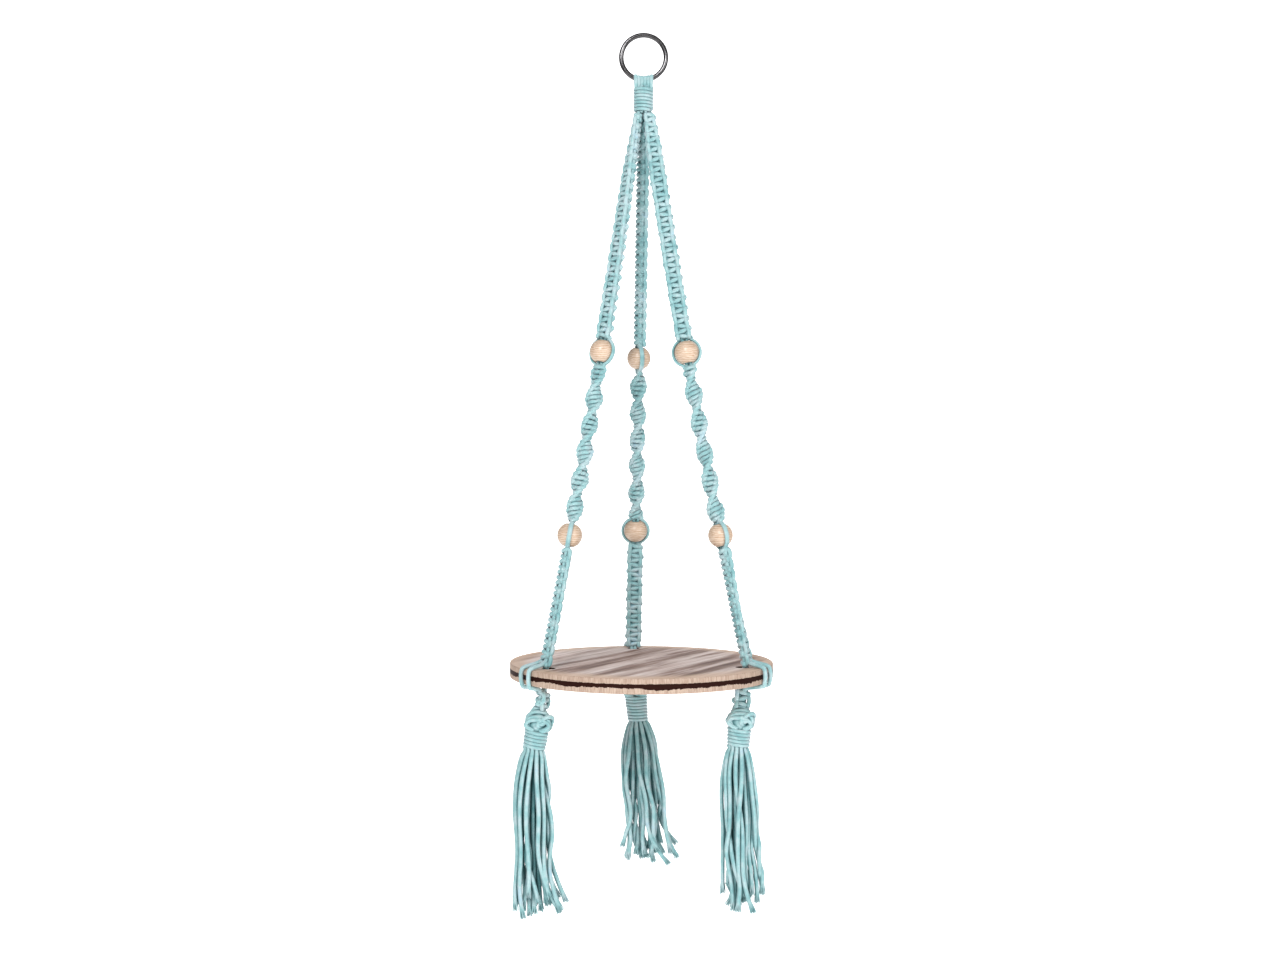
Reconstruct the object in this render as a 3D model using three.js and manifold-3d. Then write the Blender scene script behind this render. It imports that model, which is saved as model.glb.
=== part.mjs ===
// Hanging macrame planter: a round wooden shelf carried by three knotted cord arms from one steel ring.
//
// Frame: millimetres, +Z up, origin at the top of the ring's eye, where a hook carries it. The ring
// faces along Y. Six cords are folded over the ring, a wrap binds them, and below it their twelve
// strands part into three arms of four. In each arm two strands are fillers, which run straight
// through the knots, the beads and the shelf's hole, and two are working cords, which are knotted
// round the fillers, pass round the beads and go over the shelf's rim. A tassel hangs from each
// arm's last knots, under the shelf.

import * as THREE from "three";
import { mergeVertices } from "three/addons/utils/BufferGeometryUtils.js";
import Module from "manifold-3d";

const wasm = await Module();
wasm.setup();

// Driving dimensions.
const CORD = 4; // diameter of the cotton cord
const GAP = 0.4; // clearance between neighbouring pieces
const RING_OUTER = 51; // outside diameter of the steel ring
const RING_WIRE = 5; // diameter of its wire
const LOOPS_WIDTH = 20; // six folded cords side by side on the ring
const WRAP_DIAMETER = 19;
const WRAP_BOTTOM = -77.5; // height of the top wrap's lower end
const SHELF_DIAMETER = 270;
const SHELF_THICKNESS = 15;
const SHELF_TOP = -641.6; // height of the face that a pot stands on
const HOLE_DIAMETER = 12;
const HOLE_CIRCLE = 222; // diameter of the circle of the three holes
const ARM_FOOT_CIRCLE = 231; // diameter of the circle on which the arms meet the shelf
const POT_ROUND = 170; // diameter of the shelf's clear middle
const BEAD_DIAMETER = 25;
const BEAD_BORE = 9.5;
const UPPER_BEAD = -326; // height of the upper beads' centres
const LOWER_BEAD = -510.7; // height of the lower beads' centres
const SENNIT_WIDTH = 16; // a flat chain of square knots, four cords wide
const SENNIT_THICKNESS = 10;
const SPIRAL_THICKNESS = 9;
const NECK_DIAMETER = 12; // the last knots, under the shelf
const TASSEL_HEAD_DIAMETER = 25;
const TASSEL_WRAP_DIAMETER = 22.6;
const SKIRT_DIAMETER = 42;
const SKIRT_BOTTOM = -882;

// Each arm: its direction from the centre, in degrees from +X, and the turn of the flat of its
// knots, in degrees from the outward direction. The turn runs on through the spiral chain, where
// every half knot adds to it, once the chain's first few millimetres, hold, are past. Under the
// shelf, tuck is how far outside its hole the neck hangs, lean and hang are how many degrees the
// neck with the tassel's head and the skirt hang out of plumb, towards +X and towards -Y, and
// headHeight is the height of the tassel's head.
const ARMS = [
  {
    name: "left",
    direction: 214.5,
    turn: { top: 55.5, upperBead: 110.5, lowerBead: -844.5, shelf: -828 },
    hold: 12,
    tuck: 6,
    lean: [-9, 0],
    hang: [1.5, 0],
    headHeight: 19.8,
  },
  {
    name: "right",
    direction: 334.5,
    turn: { top: 25.5, upperBead: 15.5, lowerBead: -940.5, shelf: -988 },
    hold: 0,
    tuck: 0,
    lean: [-3.5, 0],
    hang: [1.5, 0],
    headHeight: 19.8,
  },
  {
    name: "back",
    direction: 94.5,
    turn: { top: 10.5, upperBead: 10.5, lowerBead: -994.5, shelf: -988 },
    hold: 0,
    tuck: 0,
    lean: [5, 0],
    hang: [4.5, 0],
    headHeight: 11,
  },
];

// Worked out from them.
const RING_RADIUS = (RING_OUTER - RING_WIRE) / 2;
const RING_CENTRE = -(RING_OUTER / 2 - RING_WIRE);
const WIRE_BOTTOM = RING_CENTRE - RING_RADIUS; // centre of the wire where the cords hang
const SWING_PIVOT = WIRE_BOTTOM - 6.5; // where the folded cords bend above the wrap
const LOOP_NOSE = 4; // radius of the loops' rounded lower end, about that pivot
const WRAP_TOP = SWING_PIVOT - LOOP_NOSE - GAP;
const SHELF_BOTTOM = SHELF_TOP - SHELF_THICKNESS;
const HOLE_OUT = HOLE_CIRCLE / 2;
const ARM_FOOT_OUT = ARM_FOOT_CIRCLE / 2;
const ARM_TOP = WRAP_BOTTOM - 2 * GAP;
const ARM_TOP_OUT = 6.2; // how far out each arm leaves the wrap
const ARM_FOOT = SHELF_TOP + 5; // where the arm's knots end, just above the shelf
const ARM_SLOPE = 0.159; // outward travel per millimetre down, at the top
const ARM_TOP_SIZE = 0.62; // the first knots are tight, and reach full size over the length below
const ARM_TOP_LENGTH = 55;
const BEAD_CLEAR = BEAD_DIAMETER / 2 + GAP + CORD / 2; // from a bead's centre to its side cord's
const BEAD_END = BEAD_CLEAR + 0.9; // from a bead's centre to the knots above and below it
const NECK_PIVOT = SHELF_BOTTOM - 5.4;
const NECK_LENGTH = 16.2; // from the neck's pivot to the tassel's
const HEAD_TOP = -2.8; // these two are heights from the tassel's pivot
const TASSEL_WRAP_BOTTOM = -44.5;

const radians = THREE.MathUtils.degToRad;

// The arm's bow is what brings it to its place on the shelf.
const ARM_DROP = ARM_TOP - ARM_FOOT;
const ARM_BOW =
  (ARM_FOOT_OUT - ARM_TOP_OUT - ARM_SLOPE * ARM_DROP) / ARM_DROP ** 2;

const group = new THREE.Group();

const cottonLook = { color: 0x8fc3c4, roughness: 0.95, metalness: 0 };
const beadLook = { color: 0xe0b892, roughness: 0.55, metalness: 0 };
const shelfLook = { color: 0xb09a8c, roughness: 0.75, metalness: 0 };
const steelLook = { color: 0x55575c, roughness: 0.2, metalness: 1 };

function addPiece(parent, name, geometry, look) {
  const mesh = new THREE.Mesh(geometry, new THREE.MeshStandardMaterial(look));
  mesh.name = name;
  parent.add(mesh);
  return mesh;
}

// A closed three.js geometry as a manifold-3d solid, and back.
function toSolid(geometry) {
  const bare = new THREE.BufferGeometry();
  const source = geometry.index ? geometry.toNonIndexed() : geometry;
  bare.setAttribute("position", source.getAttribute("position"));
  const merged = mergeVertices(bare, 1e-4);
  return new wasm.Manifold(
    new wasm.Mesh({
      numProp: 3,
      vertProperties: new Float32Array(merged.attributes.position.array),
      triVerts: new Uint32Array(merged.index.array),
    }),
  );
}

function toGeometry(solid) {
  const mesh = solid.getMesh();
  const geometry = new THREE.BufferGeometry();
  const positions = new THREE.BufferAttribute(mesh.vertProperties, 3);
  geometry.setAttribute("position", positions);
  geometry.setIndex(new THREE.BufferAttribute(mesh.triVerts, 1));
  return geometry;
}

// A solid turned about Z from [radius, height] points, listed from bottom to top.
function turned(profile, sides) {
  const points = profile.map(([radius, z]) => new THREE.Vector2(radius, z));
  return new THREE.LatheGeometry(points, sides).rotateX(Math.PI / 2);
}

// An ellipse-like outline with the given number of sides, as a shape.
function ovalShape(width, thickness, sides) {
  const corners = Array.from({ length: sides }, (_, i) => {
    const angle = ((i + 0.5) / sides) * 2 * Math.PI;
    return new THREE.Vector2(
      (width / 2) * Math.cos(angle),
      (thickness / 2) * Math.sin(angle),
    );
  });
  return new THREE.Shape(corners);
}

function roundTube(points, radius, sides, steps) {
  const path = new THREE.CatmullRomCurve3(points, false, "centripetal");
  return new THREE.ExtrudeGeometry(ovalShape(2 * radius, 2 * radius, sides), {
    extrudePath: path,
    steps,
  });
}

// A point of an arm's centreline in the arm's own frame: X outward, Y sideways, Z up.
function armPoint(z) {
  const drop = ARM_TOP - z;
  const out = ARM_TOP_OUT + ARM_SLOPE * drop + ARM_BOW * drop ** 2;
  return new THREE.Vector3(out, 0, z);
}

// The arm's direction downwards, the direction across the flat of its knots, and the one through it.
function armAxes(z, turn) {
  const slope = ARM_SLOPE + 2 * ARM_BOW * (ARM_TOP - z);
  const down = new THREE.Vector3(slope, 0, -1).normalize();
  const across = new THREE.Vector3(
    Math.cos(radians(turn)),
    Math.sin(radians(turn)),
    0,
  );
  across.addScaledVector(down, -across.dot(down)).normalize();
  const through = new THREE.Vector3().crossVectors(down, across);
  return { down, across, through };
}

// How full the knots are at a height, as a share of their full size.
function knotSize(z) {
  const grown = Math.min(1, (ARM_TOP - z) / ARM_TOP_LENGTH);
  return THREE.MathUtils.lerp(ARM_TOP_SIZE, 1, grown);
}

// A chain of knots: a straight bar with the chain's outline, laid along the arm between two heights
// while its flat turns from one angle to the other.
function chain({ from, to, turns, hold = 0, thickness, sides, steps }) {
  const length = from - to;
  const bar = new THREE.ExtrudeGeometry(
    ovalShape(SENNIT_WIDTH, thickness, sides),
    { depth: length, steps, bevelEnabled: false },
  );
  const position = bar.getAttribute("position");
  const at = new THREE.Vector3();
  for (let i = 0; i < position.count; i++) {
    at.fromBufferAttribute(position, i);
    const z = from - at.z;
    const share = Math.max(0, (at.z - hold) / (length - hold));
    const turn = THREE.MathUtils.lerp(turns[0], turns[1], share);
    const { across, through } = armAxes(z, turn);
    const size = knotSize(z);
    const placed = armPoint(z)
      .addScaledVector(across, at.x * size)
      .addScaledVector(through, at.y * size);
    position.setXYZ(i, placed.x, placed.y, placed.z);
  }
  return bar;
}

function beadGeometry() {
  const bore = BEAD_BORE / 2;
  const radius = BEAD_DIAMETER / 2;
  const start = Math.acos(bore / radius);
  const steps = 8;
  const profile = Array.from({ length: steps + 1 }, (_, i) => {
    const angle = -start + (2 * start * i) / steps;
    return [radius * Math.cos(angle), radius * Math.sin(angle)];
  });
  return turned([...profile, profile[0]], 16);
}

// A group at a bead's centre with its Z up the arm and its X across the flat of the knots.
function beadFrame(z, turn) {
  const { down, across, through } = armAxes(z, turn);
  const frame = new THREE.Group();
  const basis = new THREE.Matrix4().makeBasis(
    across,
    through.clone().negate(),
    down.clone().negate(),
  );
  frame.quaternion.setFromRotationMatrix(basis);
  frame.position.copy(armPoint(z));
  return frame;
}

// A working cord that passes round the bead, on its +X or -X side.
function sideCord(side) {
  const reach = 64;
  const points = Array.from({ length: 9 }, (_, i) => {
    const angle = radians(-reach + (2 * reach * i) / 8);
    return new THREE.Vector3(
      side * BEAD_CLEAR * Math.cos(angle),
      0,
      BEAD_CLEAR * Math.sin(angle),
    );
  });
  return roundTube(points, CORD / 2, 8, 10);
}

function addBead(arm, armGroup, place, z, turn) {
  const frame = beadFrame(z, turn);
  armGroup.add(frame);
  const prefix = `${arm.name}_${place}`;
  const fillerReach = BEAD_END - GAP;
  const fillers = turned(
    [
      [0, -fillerReach],
      [CORD, -fillerReach],
      [CORD, fillerReach],
      [0, fillerReach],
    ],
    8,
  );
  addPiece(frame, `${prefix}_bead`, beadGeometry(), beadLook);
  addPiece(frame, `${prefix}_bead_fillers`, fillers, cottonLook);
  addPiece(frame, `${prefix}_side_cord_a`, sideCord(1), cottonLook);
  addPiece(frame, `${prefix}_side_cord_b`, sideCord(-1), cottonLook);
}

// A working cord from the end of the arm, out over the shelf's rim and back under it.
function rimCord(side) {
  const clear = CORD / 2 + GAP;
  const rim = SHELF_DIAMETER / 2;
  const corner = clear * Math.SQRT1_2;
  const spread = 6.5;
  const route = [
    [ARM_FOOT_OUT + 1.5, 5.4, SHELF_TOP + clear],
    [rim - 12, spread, SHELF_TOP + clear],
    [rim - 1, spread, SHELF_TOP + clear],
    [rim + corner, spread, SHELF_TOP + corner],
    [rim + clear, spread, SHELF_TOP - 1],
    [rim + clear, spread, SHELF_BOTTOM + 1],
    [rim + corner, spread, SHELF_BOTTOM - corner],
    [rim - 1, spread, SHELF_BOTTOM - clear],
    [rim - 10, spread - 1, SHELF_BOTTOM - clear - 0.2],
    [HOLE_OUT + 7.5, 4.2, SHELF_BOTTOM - clear - 0.8],
  ];
  const points = route.map(
    ([out, across, z]) => new THREE.Vector3(out, side * across, z),
  );
  return roundTube(points, CORD / 2, 8, 22);
}

// The two fillers where they pass through the shelf, with a rounded end above the neck's knots.
function holeCords() {
  return turned(
    [
      [0, NECK_PIVOT - 1],
      [CORD - 1.5, NECK_PIVOT],
      [CORD, NECK_PIVOT + 2.5],
      [CORD, ARM_FOOT - CORD / 2],
      [0, ARM_FOOT - CORD / 2],
    ],
    8,
  );
}

// The last knots hang from one pivot and carry the tassel's pivot in their rounded lower end.
function neckKnots() {
  const radius = NECK_DIAMETER / 2;
  return turned(
    [
      [0, -18.7],
      [2.5, -17.7],
      [radius, -14],
      [radius, -7],
      [radius / 2, -3],
      [0, -3],
    ],
    10,
  );
}

function tasselHead(height) {
  const radius = TASSEL_HEAD_DIAMETER / 2;
  const bottom = HEAD_TOP - height;
  return turned(
    [
      [0, bottom],
      [radius - 2, bottom],
      [radius, bottom + 2],
      [radius, HEAD_TOP - 7],
      [4, HEAD_TOP],
      [0, HEAD_TOP],
    ],
    14,
  );
}

function tasselWrap(headHeight) {
  const radius = TASSEL_WRAP_DIAMETER / 2;
  const top = HEAD_TOP - headHeight - GAP;
  return turned(
    [
      [0, TASSEL_WRAP_BOTTOM],
      [radius, TASSEL_WRAP_BOTTOM],
      [radius, top],
      [0, top],
    ],
    14,
  );
}

// The loose strands, from the middle of the wrap's lower end down. Its top is domed, so that it
// hangs plumb below a wrap that leans.
function tasselSkirt() {
  const foot = SKIRT_BOTTOM - (NECK_PIVOT - NECK_LENGTH + TASSEL_WRAP_BOTTOM);
  const radius = SKIRT_DIAMETER / 2;
  return turned(
    [
      [0, foot],
      [radius, foot],
      [radius - 1.2, foot + 50],
      [radius - 2.6, -33],
      [radius - 5.5, -15],
      [9.5, -2.4],
      [5, -1.1],
      [0, -0.4],
    ],
    14,
  );
}

// A tilt that is given in degrees towards the row's +X and -Y, in the arm's own frame.
function tilted(arm, degrees) {
  const [toX, toFront] = degrees.map(radians);
  const tilt = new THREE.Vector3(-toFront, -toX, 0).applyAxisAngle(
    new THREE.Vector3(0, 0, 1),
    -radians(arm.direction),
  );
  return new THREE.Quaternion().setFromAxisAngle(
    tilt.clone().normalize(),
    tilt.length(),
  );
}

function addTassel(arm, armGroup) {
  const neck = new THREE.Group();
  neck.position.set(HOLE_OUT + arm.tuck, 0, NECK_PIVOT);
  neck.quaternion.copy(tilted(arm, arm.lean));
  armGroup.add(neck);
  addPiece(neck, `${arm.name}_neck_knots`, neckKnots(), cottonLook);

  const tassel = new THREE.Group();
  tassel.position.z = -NECK_LENGTH;
  neck.add(tassel);
  const head = tasselHead(arm.headHeight);
  const wrap = tasselWrap(arm.headHeight);
  addPiece(tassel, `${arm.name}_tassel_head`, head, cottonLook);
  addPiece(tassel, `${arm.name}_tassel_wrap`, wrap, cottonLook);
  const skirt = addPiece(tassel, `${arm.name}_tassel_skirt`, tasselSkirt(), cottonLook);
  skirt.position.z = TASSEL_WRAP_BOTTOM;
  skirt.quaternion
    .copy(neck.quaternion)
    .invert()
    .multiply(tilted(arm, arm.hang));
}

function addArm(arm) {
  const armGroup = new THREE.Group();
  armGroup.rotation.z = radians(arm.direction);
  group.add(armGroup);
  const { top, upperBead, lowerBead, shelf } = arm.turn;
  const flat = { thickness: SENNIT_THICKNESS, sides: 8 };
  const upper = chain({
    from: ARM_TOP,
    to: UPPER_BEAD + BEAD_END,
    turns: [top, upperBead],
    steps: 8,
    ...flat,
  });
  const spiral = chain({
    from: UPPER_BEAD - BEAD_END,
    to: LOWER_BEAD + BEAD_END,
    turns: [upperBead, lowerBead],
    hold: arm.hold,
    thickness: SPIRAL_THICKNESS,
    sides: 6,
    steps: 34,
  });
  const lower = chain({
    from: LOWER_BEAD - BEAD_END,
    to: ARM_FOOT,
    turns: [lowerBead, shelf],
    steps: 6,
    ...flat,
  });
  addPiece(armGroup, `${arm.name}_upper_sennit`, upper, cottonLook);
  addPiece(armGroup, `${arm.name}_spiral_sennit`, spiral, cottonLook);
  addPiece(armGroup, `${arm.name}_lower_sennit`, lower, cottonLook);
  addBead(arm, armGroup, "upper", UPPER_BEAD, upperBead);
  addBead(arm, armGroup, "lower", LOWER_BEAD, lowerBead);
  addPiece(armGroup, `${arm.name}_rim_cord_a`, rimCord(1), cottonLook);
  addPiece(armGroup, `${arm.name}_rim_cord_b`, rimCord(-1), cottonLook);
  const fillers = holeCords().translate(HOLE_OUT + 1.4, 0, 0);
  addPiece(armGroup, `${arm.name}_hole_cords`, fillers, cottonLook);
  addTassel(arm, armGroup);
}

function addRing() {
  const torus = new THREE.TorusGeometry(RING_RADIUS, RING_WIRE / 2, 10, 40);
  torus.rotateX(Math.PI / 2);
  const ring = addPiece(group, "ring", torus, steelLook);
  ring.position.z = RING_CENTRE;
}

// The six folded cords as one saddle that follows the ring's curve, with the wire's way through it.
function addCordLoops() {
  const skin = RING_WIRE / 2 + CORD - 0.1;
  const halfAngle = Math.asin(LOOPS_WIDTH / 2 / RING_RADIUS);
  const arc = Array.from({ length: 7 }, (_, i) => {
    const angle = halfAngle * (i / 3 - 1);
    return new THREE.Vector3(
      RING_RADIUS * Math.sin(angle),
      0,
      RING_CENTRE - RING_RADIUS * Math.cos(angle),
    );
  });
  const saddle = toSolid(roundTube(arc, skin, 12, 6));
  const legHeight = WIRE_BOTTOM - SWING_PIVOT;
  const legs = toSolid(
    new THREE.BoxGeometry(LOOPS_WIDTH - 2, 2 * LOOP_NOSE, legHeight).translate(
      0,
      0,
      SWING_PIVOT + legHeight / 2,
    ),
  );
  const nose = toSolid(
    new THREE.CylinderGeometry(LOOP_NOSE, LOOP_NOSE, LOOPS_WIDTH - 2, 12)
      .rotateZ(Math.PI / 2)
      .translate(0, 0, SWING_PIVOT),
  );
  const way = toSolid(
    new THREE.TorusGeometry(RING_RADIUS, RING_WIRE / 2 + GAP, 10, 40)
      .rotateX(Math.PI / 2)
      .translate(0, 0, RING_CENTRE),
  );
  const loops = saddle.add(legs).add(nose).subtract(way);
  addPiece(group, "cord_loops", toGeometry(loops), cottonLook);
}

function addTopWrap() {
  const radius = WRAP_DIAMETER / 2;
  const wrap = turned(
    [
      [0, WRAP_BOTTOM],
      [radius, WRAP_BOTTOM],
      [radius, WRAP_TOP],
      [0, WRAP_TOP],
    ],
    16,
  );
  addPiece(group, "top_wrap", wrap, cottonLook);
}

// The board, with eased edges and a hole for each arm. The ring of points on its top marks the
// clear round on which a pot stands.
function addShelf() {
  const radius = SHELF_DIAMETER / 2;
  const ease = 1;
  const board = turned(
    [
      [0, 0],
      [radius - ease, 0],
      [radius, ease],
      [radius, SHELF_THICKNESS - ease],
      [radius - ease, SHELF_THICKNESS],
      [POT_ROUND / 2, SHELF_THICKNESS],
      [0, SHELF_THICKNESS],
    ],
    60,
  );
  const holes = ARMS.map(({ direction }) => {
    const hole = new THREE.CylinderGeometry(
      HOLE_DIAMETER / 2,
      HOLE_DIAMETER / 2,
      2 * SHELF_THICKNESS,
      16,
    );
    hole.rotateX(Math.PI / 2);
    hole.translate(HOLE_OUT, 0, SHELF_THICKNESS / 2);
    return toSolid(hole.rotateZ(radians(direction)));
  });
  const drilled = holes.reduce((solid, hole) => solid.subtract(hole), toSolid(board));
  const shelf = addPiece(group, "shelf", toGeometry(drilled), shelfLook);
  shelf.position.z = SHELF_BOTTOM;
}

addRing();
addCordLoops();
addTopWrap();
ARMS.forEach(addArm);
addShelf();

export default group;
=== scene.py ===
"""Looks of the hanging macrame planter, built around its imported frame. Metres, +Z up, -Y is the front.

The cords' centrelines follow the solids of the frame: each arm runs outward and down from the top
wrap to a hole of the shelf, with u across the flat of its knots, v through it and s down it.
"""

import math
import random

import bpy
import numpy as np
from mathutils import Matrix, Vector


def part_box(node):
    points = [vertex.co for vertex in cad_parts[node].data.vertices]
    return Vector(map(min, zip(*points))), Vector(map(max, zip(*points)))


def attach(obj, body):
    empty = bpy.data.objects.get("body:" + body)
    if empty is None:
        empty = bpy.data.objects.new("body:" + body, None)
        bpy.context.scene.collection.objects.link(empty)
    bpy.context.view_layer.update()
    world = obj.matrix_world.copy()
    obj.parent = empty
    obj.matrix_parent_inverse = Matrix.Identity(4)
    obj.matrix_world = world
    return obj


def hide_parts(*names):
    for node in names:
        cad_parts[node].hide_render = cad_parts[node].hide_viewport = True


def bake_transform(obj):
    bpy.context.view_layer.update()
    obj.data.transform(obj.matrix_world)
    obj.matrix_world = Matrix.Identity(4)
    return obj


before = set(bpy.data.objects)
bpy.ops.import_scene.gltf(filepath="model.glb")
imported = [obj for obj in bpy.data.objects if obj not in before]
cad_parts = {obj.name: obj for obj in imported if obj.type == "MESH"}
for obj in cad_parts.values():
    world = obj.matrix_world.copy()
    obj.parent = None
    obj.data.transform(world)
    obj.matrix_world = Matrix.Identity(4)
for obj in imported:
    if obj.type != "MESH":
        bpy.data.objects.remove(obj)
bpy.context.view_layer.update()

MM = 0.001
rng = random.Random(7)

# Sizes that the frame's solids give.
SHELF_LOW, SHELF_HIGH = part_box("shelf")
SHELF_TOP = SHELF_HIGH.z
SHELF_BOTTOM = SHELF_LOW.z
SHELF_RADIUS = SHELF_HIGH.x
RING_LOW, RING_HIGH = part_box("ring")
RING_OUTER = (RING_HIGH.x - RING_LOW.x) / 2
RING_CENTRE = (RING_HIGH.z + RING_LOW.z) / 2
WRAP_LOW, WRAP_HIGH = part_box("top_wrap")
WRAP_RADIUS = (WRAP_HIGH.x - WRAP_LOW.x) / 2

# Sizes that the part's source gives.
CORD_RADIUS = 2 * MM
KNOT_RADIUS = 1.92 * MM  # a cord pulled tight in a knot
FILLER_RADIUS = 3.1 * MM  # a filler pressed flat between the knots
FILLER_PRESS = 0.9  # its thickness over its width
RIM_CORD_RADIUS = 2.15 * MM
WRAP_CORD_RADIUS = 1.75 * MM
WRAP_PITCH = 1.98 * WRAP_CORD_RADIUS  # between a gathering wrap's turns, which press on each other
LOOP_CORD_RADIUS = 1.85 * MM  # a cord folded over the ring
STRAND_DIAMETER = 4.4 * MM  # a tassel's loosened cord
RING_WIRE = 5 * MM
RING_RADIUS = RING_OUTER - RING_WIRE / 2  # to the middle of its wire
BEAD_RADIUS = 12.5 * MM
BEAD_BORE = 4.75 * MM  # its radius
HOLE_RADIUS = 6 * MM
HOLE_OUT = 111 * MM  # from the shelf's middle to a hole's
ARM_FOOT_OUT = 115.5 * MM  # and to where an arm meets the shelf
UPPER_BEAD = -326 * MM
LOWER_BEAD = -510.7 * MM
KNOT_END = 13.6 * MM  # from a bead's centre to the knots above and below it
ARM_TOP = WRAP_LOW.z - 0.8 * MM
ARM_FOOT = SHELF_TOP + 5 * MM
ARM_TOP_OUT = 6.2 * MM
ARM_SLOPE = 0.159
ARM_TOP_SIZE = 0.62
ARM_TOP_LENGTH = 55 * MM
ARM_DROP = ARM_TOP - ARM_FOOT
ARM_BOW = (ARM_FOOT_OUT - ARM_TOP_OUT - ARM_SLOPE * ARM_DROP) / ARM_DROP**2
NECK_PIVOT = SHELF_BOTTOM - 5.4 * MM
NECK_LENGTH = 16.2 * MM  # from the neck's pivot to the tassel's
FRONT_HEAD = 19.8 * MM  # height of the left and right tassels' heads
HEAD_TOP = -2.8 * MM  # these two are heights from the tassel's pivot
TASSEL_WRAP_BOTTOM = -44.5 * MM
TASSEL_WRAP_RADIUS = 11.4 * MM  # at its lower end
SWING_PIVOT = -50 * MM  # where the folded cords bend fore and aft
HALF_KNOT = 5.15 * MM  # height that one half knot adds to a chain
# Width and thickness of the chains' knots, as shares of the knots drawn below.
UPPER_SHAPE = (1.1, 1.0)
SPIRAL_SHAPE = (1.12, 0.66)
LOWER_SHAPE = (1.1, 0.88)
NECK_SHAPE = (1.2, 1.15)
UPPER_EASE = 2.2  # how much sooner an upper chain turns at its top than at its bead

# Direction of each arm from the middle and turn of its knots' flat, in degrees, at the top, the upper
# bead, the lower bead and the shelf; hold is the length over which the spiral hasn't begun to turn, and
# over is a half turn where the lower chain is tied from its other side.
# Under the shelf, tuck is how far outside its hole the neck hangs, lean and hang are the tilt of the
# tassel's head and of its skirt towards +X and towards -Y, in degrees, head is the head's height, wrap is
# the radius of the wrap's top, full is how much wider than the others the skirt opens, drift is how far
# its strands settle towards +X and flare how far its last ones stand out there, in millimetres, long is
# their length as a share, and neck_turn is the turn of the neck's flat.
ARMS = {
    "left": {
        "direction": 214.5,
        "turns": (55.5, 110.5, -844.5, -828),
        "hold": 12 * MM,
        "over": 0,
        "tuck": 6 * MM,
        "lean": (-9, 0),
        "hang": (1.5, 0),
        "head": FRONT_HEAD,
        "wrap": 12.4 * MM,
        "full": 1.0,
        "drift": -3.5,
        "flare": 8,
        "long": 1.0,
        "neck_turn": 70,
    },
    "right": {
        "direction": 334.5,
        "turns": (25.5, 15.5, -940.5, -988),
        "hold": 0,
        "over": 0,
        "tuck": 0,
        "lean": (-3.5, 0),
        "hang": (1.5, 0),
        "head": FRONT_HEAD,
        "wrap": 12.4 * MM,
        "full": 1.0,
        "drift": -1.6,
        "flare": 2,
        "long": 0.99,
        "neck_turn": 15,
    },
    "back": {
        "direction": 94.5,
        "turns": (10.5, 10.5, -994.5, -988),
        "hold": 0,
        "over": 180,
        "tuck": 0,
        "lean": (5, 0),
        "hang": (4.5, 0),
        "head": 11 * MM,
        "wrap": 12.8 * MM,
        "full": 1.3,
        "drift": -0.8,
        "flare": 3,
        "long": 0.96,
        "neck_turn": 0,
    },
}

# The camera looks level along +Y from near the middle of the object's height.
EYE = Vector((-0.0022, -1.488, -0.4555))
ROLL = -0.2  # degrees
LENS = 40.64


def add_camera():
    data = bpy.data.cameras.new("camera")
    data.lens = LENS
    data.sensor_width = 36
    camera = bpy.data.objects.new("camera", data)
    camera.location = EYE
    camera.rotation_euler = (math.pi / 2, math.radians(ROLL), 0)
    bpy.context.scene.collection.objects.link(camera)
    bpy.context.scene.camera = camera


# Curves and swept cords.


def smooth(points, steps=3):
    """A Catmull-Rom curve through the points, with that many steps between neighbours."""
    p = np.asarray(points, float)
    p = np.vstack([2 * p[0] - p[1], p, 2 * p[-1] - p[-2]])
    t = np.linspace(0, 1, steps, endpoint=False)[:, None]
    pieces = []
    for a, b, c, d in zip(p, p[1:], p[2:], p[3:]):
        square, cube = 2 * a - 5 * b + 4 * c - d, 3 * b - a - 3 * c + d
        pieces.append(0.5 * (2 * b + (c - a) * t + square * t**2 + cube * t**3))
    return np.vstack([*pieces, p[-2][None]])


def unit(v):
    return v / np.linalg.norm(v, axis=-1, keepdims=True)


def side_vectors(path):
    """Two unit vectors across the path at each point, carried along it without twist."""
    tangents = unit(np.gradient(path, axis=0))
    first = np.cross(tangents[0], (0.31, 0.17, 0.93))
    normal = first / np.linalg.norm(first)
    normals = np.empty_like(path)
    for i, tangent in enumerate(tangents):
        normal = normal - tangent * (normal @ tangent)
        normal = normal / np.linalg.norm(normal)
        normals[i] = normal
    return normals, np.cross(tangents, normals)


# Rounded ends: how far past a cord's end each ring lies and how wide it is, in radii.
END_RINGS = ((0.62, 0.12), (0.5, 0.55), (0.24, 0.88))


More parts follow.
